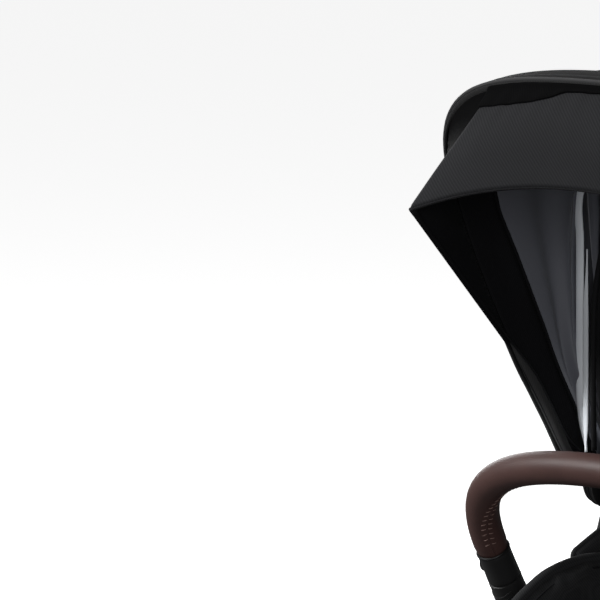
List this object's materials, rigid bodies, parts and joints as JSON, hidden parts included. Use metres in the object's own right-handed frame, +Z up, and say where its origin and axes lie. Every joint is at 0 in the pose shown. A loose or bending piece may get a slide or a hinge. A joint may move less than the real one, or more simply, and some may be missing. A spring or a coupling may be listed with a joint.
{
  "type": "pushchair travel system",
  "caption": "Folding pushchair with reclining seat, hooded canopy with visor, leather-covered bumper bar, telescopic handle, mesh basket, braked rear wheels and swivelling front casters.",
  "frame": {"origin": "on the ground, under the middle of the pushchair's bounding box", "axes": "+X to the child's left, -Y to the front, +Z up"},
  "size_m": [0.632, 0.9276, 1.0981],
  "materials": {
    "frame_metal": "satin black powder coat",
    "moulded_plastic": "fine matte black moulding",
    "tyre": "matte black foamed rubber",
    "leather": "smooth brown leather with a soft sheen",
    "seat_fabric": "matte black woven cloth",
    "canopy_fabric": "matte black twill",
    "webbing": "woven black webbing"
  },
  "bodies": {
    "chassis": {"fold_hub_left": "moulded_plastic", "fold_hub_right": "moulded_plastic", "front_leg_left": "frame_metal", "front_leg_right": "frame_metal", "front_crossbar": "frame_metal", "caster_housing_left": "moulded_plastic", "caster_housing_right": "moulded_plastic", "basket": "seat_fabric", "seat_adapter_left": "moulded_plastic", "seat_adapter_right": "moulded_plastic", "seat_hub_left": "moulded_plastic", "seat_hub_right": "moulded_plastic", "seat_base_frame": "frame_metal", "seat_liner": "seat_fabric", "crotch_strap": "webbing", "buckle": "moulded_plastic"},
    "rear_legs": {"rear_leg_left": "frame_metal", "rear_leg_right": "frame_metal", "rear_axle_beam": "frame_metal"},
    "brake": {"brake_pedal": "moulded_plastic"},
    "handle": {"handle_tube_left": "frame_metal", "handle_tube_right": "frame_metal"},
    "handle_bow": {"handle_bow": "frame_metal", "handle_grip_left": "leather", "handle_grip_right": "leather"},
    "handle_button": {"handle_button": "moulded_plastic"},
    "fold_trigger_left": {"fold_trigger_left": "moulded_plastic"},
    "fold_trigger_right": {"fold_trigger_right": "moulded_plastic"},
    "caster_left": {"caster_fork_left": "moulded_plastic"},
    "caster_right": {"caster_fork_right": "moulded_plastic"},
    "front_wheel_left": {"front_tyre_left": "tyre", "front_rim_left": "moulded_plastic"},
    "front_wheel_right": {"front_tyre_right": "tyre", "front_rim_right": "moulded_plastic"},
    "rear_wheel_left": {"rear_tyre_left": "tyre", "rear_rim_left": "moulded_plastic"},
    "rear_wheel_right": {"rear_tyre_right": "tyre", "rear_rim_right": "moulded_plastic"},
    "leg_rest": {"leg_rest_frame": "frame_metal", "leg_rest_pad": "seat_fabric"},
    "buckle_button": {"buckle_button": "moulded_plastic"},
    "seat_release_left": {"seat_release_left": "moulded_plastic"},
    "seat_release_right": {"seat_release_right": "moulded_plastic"},
    "bumper": {"bumper_bar": "moulded_plastic", "bumper_grip": "leather"},
    "bar_button_left": {"bar_button_left": "moulded_plastic"},
    "bar_button_right": {"bar_button_right": "moulded_plastic"},
    "backrest": {"backrest_frame": "frame_metal", "backrest_pad": "seat_fabric", "headrest": "seat_fabric", "shoulder_strap_left": "webbing", "shoulder_strap_right": "webbing", "canopy_hub_left": "moulded_plastic", "canopy_hub_right": "moulded_plastic", "canopy_rear_panel": "canopy_fabric"},
    "recline_lever": {"recline_lever": "moulded_plastic"},
    "canopy_mid": {"canopy_mid_bow": "frame_metal"},
    "canopy_front": {"canopy_front_bow": "frame_metal", "canopy_front_panel": "canopy_fabric"},
    "visor": {"visor": "canopy_fabric"}
  },
  "joints": [
    {"name": "handle_fold", "type": "hinge", "parent": "chassis", "child": "handle", "pos_m": [0, -0.01375, 0.5], "axis": [1, 0, 0], "range_deg": [0, 120]},
    {"name": "rear_leg_fold", "type": "hinge", "parent": "chassis", "child": "rear_legs", "pos_m": [0, -0.01375, 0.5], "axis": [1, 0, 0], "range_deg": [-42, 0]},
    {"name": "handle_telescope", "type": "slide", "parent": "handle", "child": "handle_bow", "axis": [0, 0.6555, 0.7552], "range_m": [-0.09, 0]},
    {"name": "handle_button_press", "type": "slide", "parent": "handle_bow", "child": "handle_button", "axis": [0, 0, -1], "range_m": [0, 0.003], "stiffness_N_per_m": 500},
    {"name": "fold_trigger_left_pull", "type": "slide", "parent": "handle", "child": "fold_trigger_left", "axis": [0, 0.6555, 0.7552], "range_m": [0, 0.015], "stiffness_N_per_m": 300},
    {"name": "fold_trigger_right_pull", "type": "slide", "parent": "handle", "child": "fold_trigger_right", "axis": [0, 0.6555, 0.7552], "range_m": [0, 0.015], "stiffness_N_per_m": 300},
    {"name": "caster_swivel_left", "type": "hinge", "parent": "chassis", "child": "caster_left", "pos_m": [0.2, -0.39375, 0.2125], "axis": [0, 0, 1], "continuous": true},
    {"name": "front_wheel_left_spin", "type": "hinge", "parent": "caster_left", "child": "front_wheel_left", "pos_m": [0.2, -0.36375, 0.1], "axis": [1, 0, 0], "continuous": true},
    {"name": "caster_swivel_right", "type": "hinge", "parent": "chassis", "child": "caster_right", "pos_m": [-0.2, -0.39375, 0.2125], "axis": [0, 0, 1], "continuous": true},
    {"name": "front_wheel_right_spin", "type": "hinge", "parent": "caster_right", "child": "front_wheel_right", "pos_m": [-0.2, -0.36375, 0.1], "axis": [1, 0, 0], "continuous": true},
    {"name": "rear_wheel_left_spin", "type": "hinge", "parent": "rear_legs", "child": "rear_wheel_left", "pos_m": [0.292, 0.24625, 0.145], "axis": [1, 0, 0], "continuous": true},
    {"name": "rear_wheel_right_spin", "type": "hinge", "parent": "rear_legs", "child": "rear_wheel_right", "pos_m": [-0.292, 0.24625, 0.145], "axis": [1, 0, 0], "continuous": true},
    {"name": "brake_press", "type": "hinge", "parent": "rear_legs", "child": "brake", "pos_m": [0, 0.26795, 0.145], "axis": [-1, 0, 0], "range_deg": [0, 20]},
    {"name": "seat_recline", "type": "hinge", "parent": "chassis", "child": "backrest", "pos_m": [0, -0.10875, 0.53], "axis": [-1, 0, 0], "range_deg": [0, 50]},
    {"name": "recline_lever_squeeze", "type": "slide", "parent": "backrest", "child": "recline_lever", "axis": [0, 0.3443, 0.9389], "range_m": [0, 0.005], "stiffness_N_per_m": 600},
    {"name": "canopy_fold", "type": "hinge", "parent": "backrest", "child": "canopy_front", "pos_m": [0, -0.05375, 0.68], "axis": [-1, 0, 0], "range_deg": [0, 30]},
    {"name": "canopy_mid_fold", "type": "hinge", "parent": "backrest", "child": "canopy_mid", "pos_m": [0, -0.05375, 0.68], "axis": [-1, 0, 0], "range_deg": [0, 15]},
    {"name": "visor_fold", "type": "hinge", "parent": "canopy_front", "child": "visor", "pos_m": [0, -0.05375, 0.68], "axis": [-1, 0, 0], "range_deg": [0, 7]},
    {"name": "bumper_bar_swing", "type": "hinge", "parent": "chassis", "child": "bumper", "pos_m": [0.206, -0.17996, 0.60527], "axis": [0, -0.4985, 0.8669], "range_deg": [0, 90]},
    {"name": "bar_button_left_press", "type": "slide", "parent": "bumper", "child": "bar_button_left", "axis": [-1, 0, 0], "range_m": [0, 0.002], "stiffness_N_per_m": 500},
    {"name": "bar_button_right_press", "type": "slide", "parent": "bumper", "child": "bar_button_right", "axis": [1, 0, 0], "range_m": [0, 0.002], "stiffness_N_per_m": 500},
    {"name": "leg_rest_tilt", "type": "hinge", "parent": "chassis", "child": "leg_rest", "pos_m": [0, -0.38605, 0.48], "axis": [-1, 0, 0], "range_deg": [-10, 60]},
    {"name": "buckle_button_press", "type": "slide", "parent": "chassis", "child": "buckle_button", "axis": [0, 0.8, -0.6], "range_m": [0, 0.003], "stiffness_N_per_m": 500},
    {"name": "seat_release_left_press", "type": "slide", "parent": "chassis", "child": "seat_release_left", "axis": [-1, 0, 0], "range_m": [0, 0.0035], "stiffness_N_per_m": 500},
    {"name": "seat_release_right_press", "type": "slide", "parent": "chassis", "child": "seat_release_right", "axis": [1, 0, 0], "range_m": [0, 0.0035], "stiffness_N_per_m": 500}
  ],
  "couplings": [
    {"joint": "rear_leg_fold", "follows": "handle_fold", "ratio": -0.35},
    {"joint": "canopy_mid_fold", "follows": "canopy_fold", "ratio": 0.5}
  ]
}
